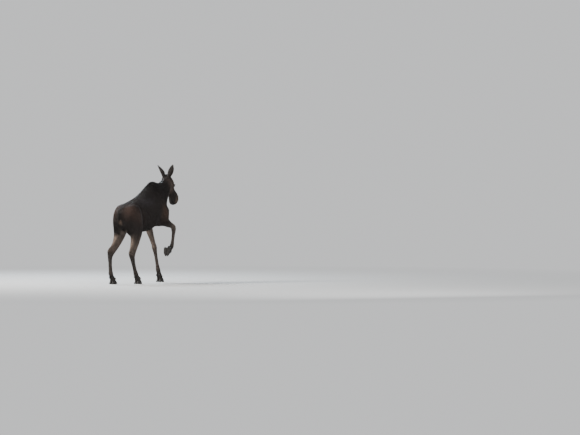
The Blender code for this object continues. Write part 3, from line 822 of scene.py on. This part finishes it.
def markedMaterial(name, roughness, specular, bump):
    # colour from the shared markings and the painted light among them, mottled, with the streaks of short
    # hair in the bump
    material, shader = newMaterial(name, roughness, specular)
    colour = addNode(material, "Attribute", {}, attribute_name="coatColour").outputs["Color"]
    colour = scaleColour(material, colour, addRamp(material, addNoise(material, 7.0, 4.0), 0.8, 1.22))
    flecks = addNoise(material, 160.0, 2.0, (1, 1, 0.3))
    colour = scaleColour(material, colour, addRamp(material, flecks, 0.78, 1.26))
    sheen = addRamp(material, addNoise(material, 22.0, 3.0), roughness - 0.08, roughness + 0.1)
    setInputs(material, shader, {"Base Color": colour, "Roughness": sheen})
    if bump:
        addBump(material, shader, addNoise(material, 330.0, 2.0, (0.5, 1, 0.35)), bump, 0.002)
    return material


skinMaterial = markedMaterial("hideAndShortHair", 0.66, 0.2, 0.6)
coatMaterial = markedMaterial("coatHair", 0.58, 0.24, 0.0)
skinShade = 0.72  # painted shade: the skin is a little darker, as it is seen in the shade between the hairs
layout = skin.data.copy()  # its faces before the lids are made, for the coat


def newPiece(name, bm, material, slot, *replaced):
    for f in bm.faces:
        f.smooth = True
    piece = meshObject(name, bm)
    piece.data.materials.append(material)
    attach(piece, "root")
    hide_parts(*replaced)
    return piece


def finishSkin():
    # lids join the skin, and each point takes its marking's colour, darkened by the painted shade between
    # the hairs
    bm = bmesh.new()
    bm.from_mesh(skin.data)
    layer = bm.verts.layers.float_color.new("coatColour")
    for v, c in zip(bm.verts, colours * skinShade):
        v[layer] = (*c, 1)
    for word, side in bothSides:
        growLids(bm, layer, word, side)
    bmesh.ops.triangulate(bm, faces=bm.faces)
    bmesh.ops.recalc_face_normals(bm, faces=bm.faces)
    bpy.data.objects.remove(skin)
    return newPiece("skin", bm, skinMaterial, "body_hair", *fleshNodes)


skin = finishSkin()
print("skin finished:", len(skin.data.polygons), "faces")

# eyes: a smooth ball with a bulging cornea, brown round a level dark pupil
eyeShape = {"corneaRise": 0.0016, "corneaEdge": 0.84, "iris": (0.68, 0.68), "pupil": (0.44, 0.18)}
eyeTones = {
    "edge": (0.012, 0.007, 0.005, 1),
    "iris": (0.013, 0.006, 0.003, 1),
    "pupil": (0.0015, 0.0015, 0.002, 1),
}


def eyeRadius(word):
    low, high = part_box("eye_" + word)
    return (high.z - low.z) / 2


def eyeMaterial(word, side):
    material, shader = newMaterial("eye" + word.capitalize(), 0.05, 0.17)
    turn = eyeTurn(side)
    turn[:, 1] *= np.linalg.det(turn)
    values = {
        "Vector": objectPlace(material),
        "Location": eyeCentres[word],
        "Rotation": Matrix(turn).to_euler(),
        "Scale": (eyeRadius(word),) * 3,
    }
    local = addNode(material, "Mapping", values, vector_type="TEXTURE").outputs["Vector"]
    colour = eyeTones["edge"]
    for tone in ("iris", "pupil"):
        long, high = eyeShape[tone]
        flat = addNode(material, "VectorMath", {0: local, 1: (1 / long, 1 / high, 0)}, operation="MULTIPLY")
        inside = addRamp(material, addLength(material, flat.outputs["Vector"]), 1.0, 0.0, 0.88, 1.08)
        colour = addMix(material, inside, colour, eyeTones[tone])
    setInputs(material, shader, {"Base Color": colour})
    return material


def makeEye(word, side):
    turn = eyeTurn(side)
    radius = eyeRadius(word)
    bm = bmesh.new()
    bmesh.ops.create_uvsphere(bm, u_segments=48, v_segments=32, radius=radius)
    for v in bm.verts:
        facing = v.co.z / radius
        if facing > eyeShape["corneaEdge"]:
            v.co *= 1 + eyeShape["corneaRise"] / radius * float(ramp(eyeShape["corneaEdge"], 1.0, facing))
    grid = Matrix([[*row, c] for row, c in zip(turn, eyeCentres[word])] + [[0, 0, 0, 1]])
    bmesh.ops.transform(bm, matrix=grid, verts=bm.verts)
    bmesh.ops.recalc_face_normals(bm, faces=bm.faces)
    newPiece("eyeball" + word.capitalize(), bm, eyeMaterial(word, side), "eye", "eye_" + word)


for word, side in bothSides:
    makeEye(word, side)
print("eyes made")

# hooves: smoothed horn with growth rings
hoofShape = {
    "voxel": 0.0024,
    "smooth": 9,
    "raisedPitch": 93,  # how far the lifted hoof is turned back
    "waist": 0.24,
    "waistReach": 0.06,
    "rings": 260.0,
    "topFacing": 0.45,
    "pasternEnd": 0.02,
}
hornTones = {"dark": (0.006, 0.0052, 0.0048, 1), "light": (0.02, 0.0165, 0.014, 1)}


def hornMaterial():
    material, shader = newMaterial("hoofHorn", 0.48, 0.22)
    growth = addNode(material, "Attribute", {}, attribute_name="growth").outputs["Fac"]
    values = {"W": addMath(material, "MULTIPLY", growth, hoofShape["rings"]), "Scale": 1.0, "Detail": 2.0}
    rings = addNode(material, "TexNoise", values, noise_dimensions="1D").outputs["Fac"]
    blotch = addRamp(material, addNoise(material, 30.0, 4.0), 0.2, 1.0)
    light = addMath(material, "MULTIPLY", addRamp(material, rings, 0.1, 1.0), blotch)
    tone = addMix(material, light, hornTones["dark"], hornTones["light"])
    setInputs(material, shader, {"Base Color": tone})
    addBump(material, shader, rings, 0.5, 0.001)
    return material


def tuckTop(bm, name, up):
    # draws the claw in towards the pastern at its upper rim, so that it widens down to the sole
    top = [f for f in bm.faces if f.normal.dot(up) > hoofShape["topFacing"]]
    area = sum(f.calc_area() for f in top)
    middle = sum((f.calc_center_median() * f.calc_area() for f in top), Vector()) / area
    normal = sum((f.normal * f.calc_area() for f in top), Vector()).normalized()
    leg = name.split("_", 1)[1].rsplit("_", 1)[0]
    points = pointsOf(nodes[leg + "_pastern"])
    along = points @ limbWay(leg + "_pastern")
    centre = Vector(points[along > along.max() - hoofShape["pasternEnd"]].mean(0))
    for v in bm.verts:
        below = (middle - v.co).dot(normal)
        off = v.co - centre
        off -= up * off.dot(up)
        v.co -= off * hoofShape["waist"] * (1 - float(ramp(0.0, hoofShape["waistReach"], below)))


def makeHoof(name, material):
    rough = meshObject("rough", mergedCopy(name))
    addModifier(rough, "REMESH", mode="VOXEL", voxel_size=hoofShape["voxel"])
    addModifier(rough, "SMOOTH", factor=0.5, iterations=hoofShape["smooth"])
    settle(rough)
    bm = bmesh.new()
    bm.from_mesh(rough.data)
    bpy.data.objects.remove(rough)
    raised = "front_right" in name
    pitch = math.radians(hoofShape["raisedPitch"] if raised else 0)
    up = Vector((math.sin(pitch), 0, math.cos(pitch)))
    if name.startswith("claw"):
        bm.normal_update()
        tuckTop(bm, name, up)
    growth = bm.verts.layers.float.new("growth")
    for v in bm.verts:
        v[growth] = v.co.dot(up)
        if not raised:
            v.co.z = max(0.0, v.co.z)
    first, *rest = name.split("_")
    newPiece(first + "".join(word.capitalize() for word in rest), bm, material, "horn", name)


horn = hornMaterial()
for name in sorted(n for n in nodes if "claw" in n):
    makeHoof(name, horn)
print("hooves made")


# the coat: thin flat locks that lie along the body
rng = np.random.default_rng(11)
lockShape = {
    "sunk": 0.0015,
    "swing": 9,
    "waves": 5.5,
    "thick": 0.32,
    "root": 0.8,
    "middle": (0.45, 0.7),  # where the lock is widest: along it, and up
    "vary": (0.75, 1.25),
    "varyRise": (0.7, 1.05),
    "bend": 0.07,
    "bright": 0.14,
    "warm": 0.05,
    "tries": 5,
    "cell": 1.12,
}
# each lock has three points at the root, three in the middle and one at the tip
# tones along each lock: darker at the root, painted shade down among the hairs, and lighter towards the tip
lockShading = np.array((0.74, 0.74, 0.82, 0.96, 0.96, 1.04, 1.22))
lockFaces = [(0, 2, 1), (0, 1, 4), (0, 4, 3), (1, 2, 5), (1, 5, 4), (2, 0, 3), (2, 3, 5)]
lockFaces += [(3, 4, 6), (4, 5, 6), (5, 3, 6)]
lockPatch = np.array([(0, 0), (1, 0), (0.5, 0.2), (0, 0.55), (1, 0.55), (0.5, 0.7), (0.5, 1)]) * 0.003

triangles = np.array([face.vertices[:] for face in layout.polygons])
triangles = triangles[(fromEye[triangles] > lidShape["reach"] + 0.001).all(1)]
corner = hide[triangles]
areas = np.linalg.norm(np.cross(corner[:, 1] - corner[:, 0], corner[:, 2] - corner[:, 0]), axis=1) / 2
triNames = names[triangles[:, 0]]


def scatter(chosen, spacing):
    # evenly strewn points on the chosen triangles: one in each small cell of space
    area = np.where(chosen, areas, 0)
    total = area.sum()
    count = int(lockShape["tries"] * total / spacing**2)
    picks = np.searchsorted(np.cumsum(area), rng.random(count) * total)
    picks = np.minimum(picks, len(area) - 1)
    r1 = np.sqrt(rng.random(count))
    r2 = rng.random(count)
    shares = np.stack([1 - r1, r1 * (1 - r2), r1 * r2], 1)
    points = (corner[picks] * shares[:, :, None]).sum(1)
    cells = np.floor(points / (spacing * lockShape["cell"])).astype(np.int64)
    keys = np.bitwise_xor.reduce(cells * (73856093, 19349663, 83492791), axis=1)  # one number for each cell
    first = np.unique(keys, return_index=True)[1]
    first.sort()
    return picks[first], shares[first]


def mixed(field, picks, shares):
    # a field of the skin's points, read at the picked places
    if field.ndim > 1:
        shares = shares[:, :, None]
    return (field[triangles[picks]] * shares).sum(1)


def shapeLocks(root, up, way, length, width, rise, tone):
    # roots, points and tones of thin three-sided locks
    shape = lockShape
    n = len(root)
    across = np.cross(up, way)
    length = length * rng.uniform(*shape["vary"], n)
    width = width * rng.uniform(*shape["vary"], n)
    rise = rise * rng.uniform(*shape["varyRise"], n)
    base = root - up * shape["sunk"]
    along, high = shape["middle"]
    middle = root + way * (along * length)[:, None] + up * (high * rise)[:, None]
    bend = rng.normal(0, shape["bend"], n)
    tip = root + way * length[:, None] + across * (bend * length)[:, None] + up * rise[:, None]
    half = (width / 2)[:, None]
    thick = (width * shape["thick"])[:, None]
    points = [base - across * half * shape["root"], base + across * half * shape["root"], base + up * thick]
    points += [middle - across * half, middle + across * half, middle + up * thick, tip]
    bright = rng.normal(1.0, shape["bright"], n).clip(0.6, 1.5)[:, None]
    warm = rng.normal(0.0, shape["warm"], n)[:, None] * np.array((1.0, 0.0, -1.0))
    tones = (tone * bright * (1 + warm))[:, None, :] * lockShading[None, :, None]
    return root, np.stack(points, 1), tones


def growLocks(picks, shares, length, width, rise):
    # locks rooted at the picked places of the skin
    n = len(picks)
    root = mixed(hide, picks, shares)
    up = unit(mixed(hideNormals, picks, shares))
    way = mixed(ways, picks, shares)
    way = unit(way - up * (way * up).sum(1, keepdims=True))
    across = np.cross(up, way)
    # slow waves over the body, so that neighbours lean alike
    wave = np.sin(root[:, 0] * 37 + root[:, 2] * 53) + np.sin(root[:, 1] * 61 - root[:, 2] * 29 + 1.7)
    angle = np.radians(lockShape["swing"] * rng.standard_normal(n) + lockShape["waves"] * wave)
    way = way * np.cos(angle)[:, None] + across * np.sin(angle)[:, None]
    locks = shapeLocks(root, up, way, length, width, rise, mixed(colours, picks, shares))
    tips = locks[1][:, -1]
    clear = np.ones(n, bool)
    for centre in eyeCentres.values():
        clear &= np.linalg.norm(tips - centre, axis=1) > lidShape["outer"] + 0.002
    return [a[clear] for a in locks]


def roll(root, start, end):
    # unrolls the skin round a line: the turn about it, and the way along it
    axis = unit(np.subtract(end, start))
    side = unit(np.cross(axis, (0.31, 0.95, 0.05)))
    other = np.cross(axis, side)
    d = root - start
    return np.stack([np.arctan2(d @ side, d @ other), d @ axis], 1)


def lineThrough(name, way):
    middle = centreOf(name)
    return middle - way, middle + way


def makeCoatPiece(name, grown, chart):
    # one mesh of locks; the chart lays their roots out for the OFBake map
    _, points, tones = (np.concatenate(a) for a in zip(*grown))
    n, size, _ = points.shape
    mesh = bpy.data.meshes.new(name)
    faces = (np.arange(n)[:, None, None] * size + np.array(lockFaces)[None]).reshape(-1, 3)
    mesh.from_pydata(points.reshape(-1, 3), [], faces, shade_flat=False)
    colour = mesh.attributes.new("coatColour", "FLOAT_COLOR", "POINT")
    colour.data.foreach_set("color", np.insert(tones.reshape(-1, 3), 3, 1, axis=1).ravel())
    low, high = chart.min(0), chart.max(0)
    chart = 0.01 + 0.975 * (chart - low) / (high - low)
    patch = (chart[:, None, :] + lockPatch[None]).reshape(-1, 2)
    layer = mesh.uv_layers.new(name="OFBake")
    layer.data.foreach_set("uv", patch[faces.reshape(-1)].reshape(-1))
    mesh.validate()
    mesh.materials.append(coatMaterial)
    piece = addObject(name, mesh)
    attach(piece, "root")
    print(name, n, "locks", len(faces), "triangles")


def coverPiece(name, grown, line):
    makeCoatPiece(name, grown, roll(np.concatenate([locks[0] for locks in grown]), *line))


coatRule = {"bareFrom": 0.3, "level": 0.2, "maneFrom": 0.75, "flatter": 0.95}


def coatOf(chosen):
    # the short hair, strewn level by level of its spacing, and none where the mane takes over
    rule = coatRule
    bare = (nostril + 0.8 * mouth)[triangles].max(1) > rule["bareFrom"]
    spacing = sizes[:, 2][triangles].mean(1)
    level = np.round(np.log(spacing) / rule["level"])
    found = []
    for step in np.unique(level[chosen]):
        found.append(scatter(chosen & ~bare & (level == step), math.exp(rule["level"] * step)))
    picks, shares = (np.concatenate(a) for a in zip(*found))
    s = mixed(sizes, picks, shares)
    keep = mixed(mane, picks, shares) < rule["maneFrom"]
    picks, shares, s = picks[keep], shares[keep], s[keep]
    return growLocks(picks, shares, s[:, 0], s[:, 1], mixed(lift, picks, shares) * rule["flatter"])


def maneOf(chosen):
    # the long hair over the crest and hump, thinner and shorter where it fades out
    shape = maneShape
    weight = mane[triangles].mean(1)
    picks, shares = scatter(chosen & (weight > shape["from"]), shape["spacing"] / shape["closer"])
    w = mixed(mane, picks, shares)
    keep = rng.random(len(w)) < shape["thinned"] + (1 - shape["thinned"]) * w
    picks, shares, w = picks[keep], shares[keep], w[keep]
    shortLength, shortWidth = shape["short"]
    length = shortLength + (shape["length"] - shortLength) * w
    width = shortWidth + (shape["width"] - shortWidth) * w
    return growLocks(picks, shares, length, width, mixed(depth, picks, shares))


neckLine = ((0.4, 0, 1.4), (0.72, 0, 1.72))
headLine = (headPoint(0, 0, -0.11), headPoint(0.58, 0, -0.1))


def growBody(word, half):
    # trunk in three zones, neck and head; half picks the triangles of one side
    low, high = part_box("trunk")
    bodyLine = ((low.x, 0, 1.15), (high.x, 0, 1.3))
    third = (high.x - low.x) / 3
    x = centres[:, 0] - low.x
    for zone, start, end in (("Rump", -9, third), ("Barrel", third, 2 * third), ("Shoulder", 2 * third, 9)):
        chosen = (triNames == "trunk") & half & (x >= start) & (x < end)
        coverPiece("coat" + zone + word, [coatOf(chosen), maneOf(chosen)], bodyLine)
    chosen = (triNames == "neck") & half
    coverPiece("coatNeck" + word, [coatOf(chosen), maneOf(chosen)], neckLine)
    coverPiece("coatHead" + word, [coatOf((triNames == "head") & half)], headLine)


def growLeg(end, word):
    grown, charts = [], []
    leg = end + "_" + word.lower()
    for i, part in enumerate(chains[leg]):
        name = leg + "_" + part
        grown.append(coatOf(triNames == name))
        charts.append(roll(grown[-1][0], *lineThrough(name, limbWay(name))))
        charts[-1][:, 1] += i * 0.6
    makeCoatPiece("coat" + end.capitalize() + "Leg" + word, grown, np.concatenate(charts))


centres = corner.mean(1)
for word, side in (("Left", 1), ("Right", -1)):
    growBody(word, centres[:, 1] * side >= 0)
    ear = "ear_" + word.lower()
    coverPiece("coatEar" + word, [coatOf(triNames == ear)], lineThrough(ear, earWay(ear)))
    growLeg("front", word)
    growLeg("hind", word)

# short hair on the lids, and lashes
lidHair = {"count": 1700, "length": 0.0068, "width": 0.0017, "rise": 0.0019, "proud": 0.001, "fan": 0.55}
lashShape = {
    "count": 46,
    "turns": (22, 158),
    "length": 0.013,
    "width": 0.001,
    "rise": 0.002,
    "sunk": 0.0012,
    "droop": 0.25,
    "sweep": 0.35,
}


def lidHairOf(word, side):
    # from the skin's edge down to the lids' edges
    n = lidHair["count"]
    turn = eyeTurn(side)
    outOfEye = turn[:, 2]
    phi = rng.uniform(-math.pi, math.pi, n)
    share = rng.uniform(0.0, 0.93, n) ** 1.25
    rim = lidRims[word]
    theta = np.interp(phi, rim[:, 0], rim[:, 1], period=2 * math.pi)
    start = np.interp(phi, rim[:, 0], rim[:, 2], period=2 * math.pi)
    opening = np.array([lidOpening(a) for a in phi])
    out = aroundEye(phi, theta + (opening - theta) * share) @ turn.T
    root = eyeCentres[word] + out * (lidReach(share, start) + lidHair["proud"])[:, None]
    away = unit(out - np.outer(out @ outOfEye, outOfEye))
    way = -turn[:, 0] + lidHair["fan"] * away
    way = unit(way - out * (way * out).sum(1, keepdims=True))
    outerTone = np.array(marks["eyeRing"]) * 0.75
    tone = outerTone + (np.array(lidTone) * 1.6 - outerTone) * ramp(0.2, 0.85, share)[:, None]
    locks = shapeLocks(root, out, way, lidHair["length"], lidHair["width"], lidHair["rise"], tone)
    tips = locks[1][:, -1] - eyeCentres[word]
    clear = np.arccos(np.clip(unit(tips) @ outOfEye, -1, 1)) > opening * 1.02
    return [a[clear] for a in locks]


def lashesOf(word, side):
    # a row of stiff hairs along the upper lid
    shape = lashShape
    n = shape["count"]
    turn = eyeTurn(side)
    along, up, _ = turn.T
    phi = np.radians(np.linspace(*shape["turns"], n) + rng.normal(0, 1.5, n))
    far = np.array([lidOpening(a) for a in phi]) - math.radians(0.5)
    out = aroundEye(phi, far) @ turn.T
    root = eyeCentres[word] + out * (lidShape["outer"] - shape["sunk"])
    way = unit(out - up * shape["droop"] - along * rng.uniform(0.0, shape["sweep"], n)[:, None])
    standing = unit(up - way * (way @ up)[:, None])
    tone = np.array(marks["mane"]) * 0.5
    return shapeLocks(root, standing, way, shape["length"], shape["width"], shape["rise"], tone)


for word, side in bothSides:
    coverPiece("lidHair" + word.capitalize(), [lashesOf(word, side), lidHairOf(word, side)], headLine)
coverPiece("coatTail", [coatOf(triNames == "tail")], ((-0.95, 0, 1.3), (-0.95, 0, 1.1)))
print("coat grown")


# floor, light and a pale room
stageShape = {
    "floor": 600,
    "floorTone": (0.38, 0.38, 0.375, 1),
    "room": {"Color": (0.88, 0.89, 0.9, 1), "Strength": 0.85},
    "fade": (2.0, 12.0),  # far off the floor turns into the room
    "aim": (0, 0, 1.1),
}


def makeStage():
    bm = bmesh.new()
    bmesh.ops.create_grid(bm, x_segments=1, y_segments=1, size=stageShape["floor"] / 2)
    floor = meshObject("floor", bm)
    material, shader = newMaterial("paleFloor", 0.9, 0.1)
    setInputs(material, shader, {"Base Color": stageShape["floorTone"]})
    away = addRamp(material, addLength(material, objectPlace(material)), 0.0, 1.0, *stageShape["fade"])
    room = addNode(material, "Emission", stageShape["room"]).outputs["Emission"]
    blend = addNode(material, "MixShader", {"Fac": away, 1: shader.outputs["BSDF"], 2: room})
    setInputs(material, material.node_tree.nodes["Material Output"], {"Surface": blend.outputs["Shader"]})
    floor.data.materials.append(material)
    world = bpy.data.worlds.new("paleRoom")
    bpy.context.scene.world = world
    world.use_nodes = True
    setInputs(world, world.node_tree.nodes["Background"], stageShape["room"])


lamps = {  # place, size, power and colour
    "key": ((-5.0, 6.5, 7.5), 3.0, 2700, (1.0, 0.97, 0.93)),
    "fill": ((-4.5, -7.5, 3.5), 5.0, 640, (1.0, 1.0, 1.0)),
    "rim": ((4.0, 5.5, 7.0), 3.0, 1600, (0.8, 0.9, 1.0)),
}


def makeLamps():
    for name, (spot, size, power, colour) in lamps.items():
        data = bpy.data.lights.new(name, "AREA")
        data.size = size
        data.energy = power
        data.color = colour
        lamp = addObject(name, data)
        lamp.location = spot
        lamp.rotation_mode = "QUATERNION"
        lamp.rotation_quaternion = (Vector(spot) - Vector(stageShape["aim"])).to_track_quat("Z", "Y")
        lamp.visible_camera = False


makeStage()
makeLamps()
print("stage set")
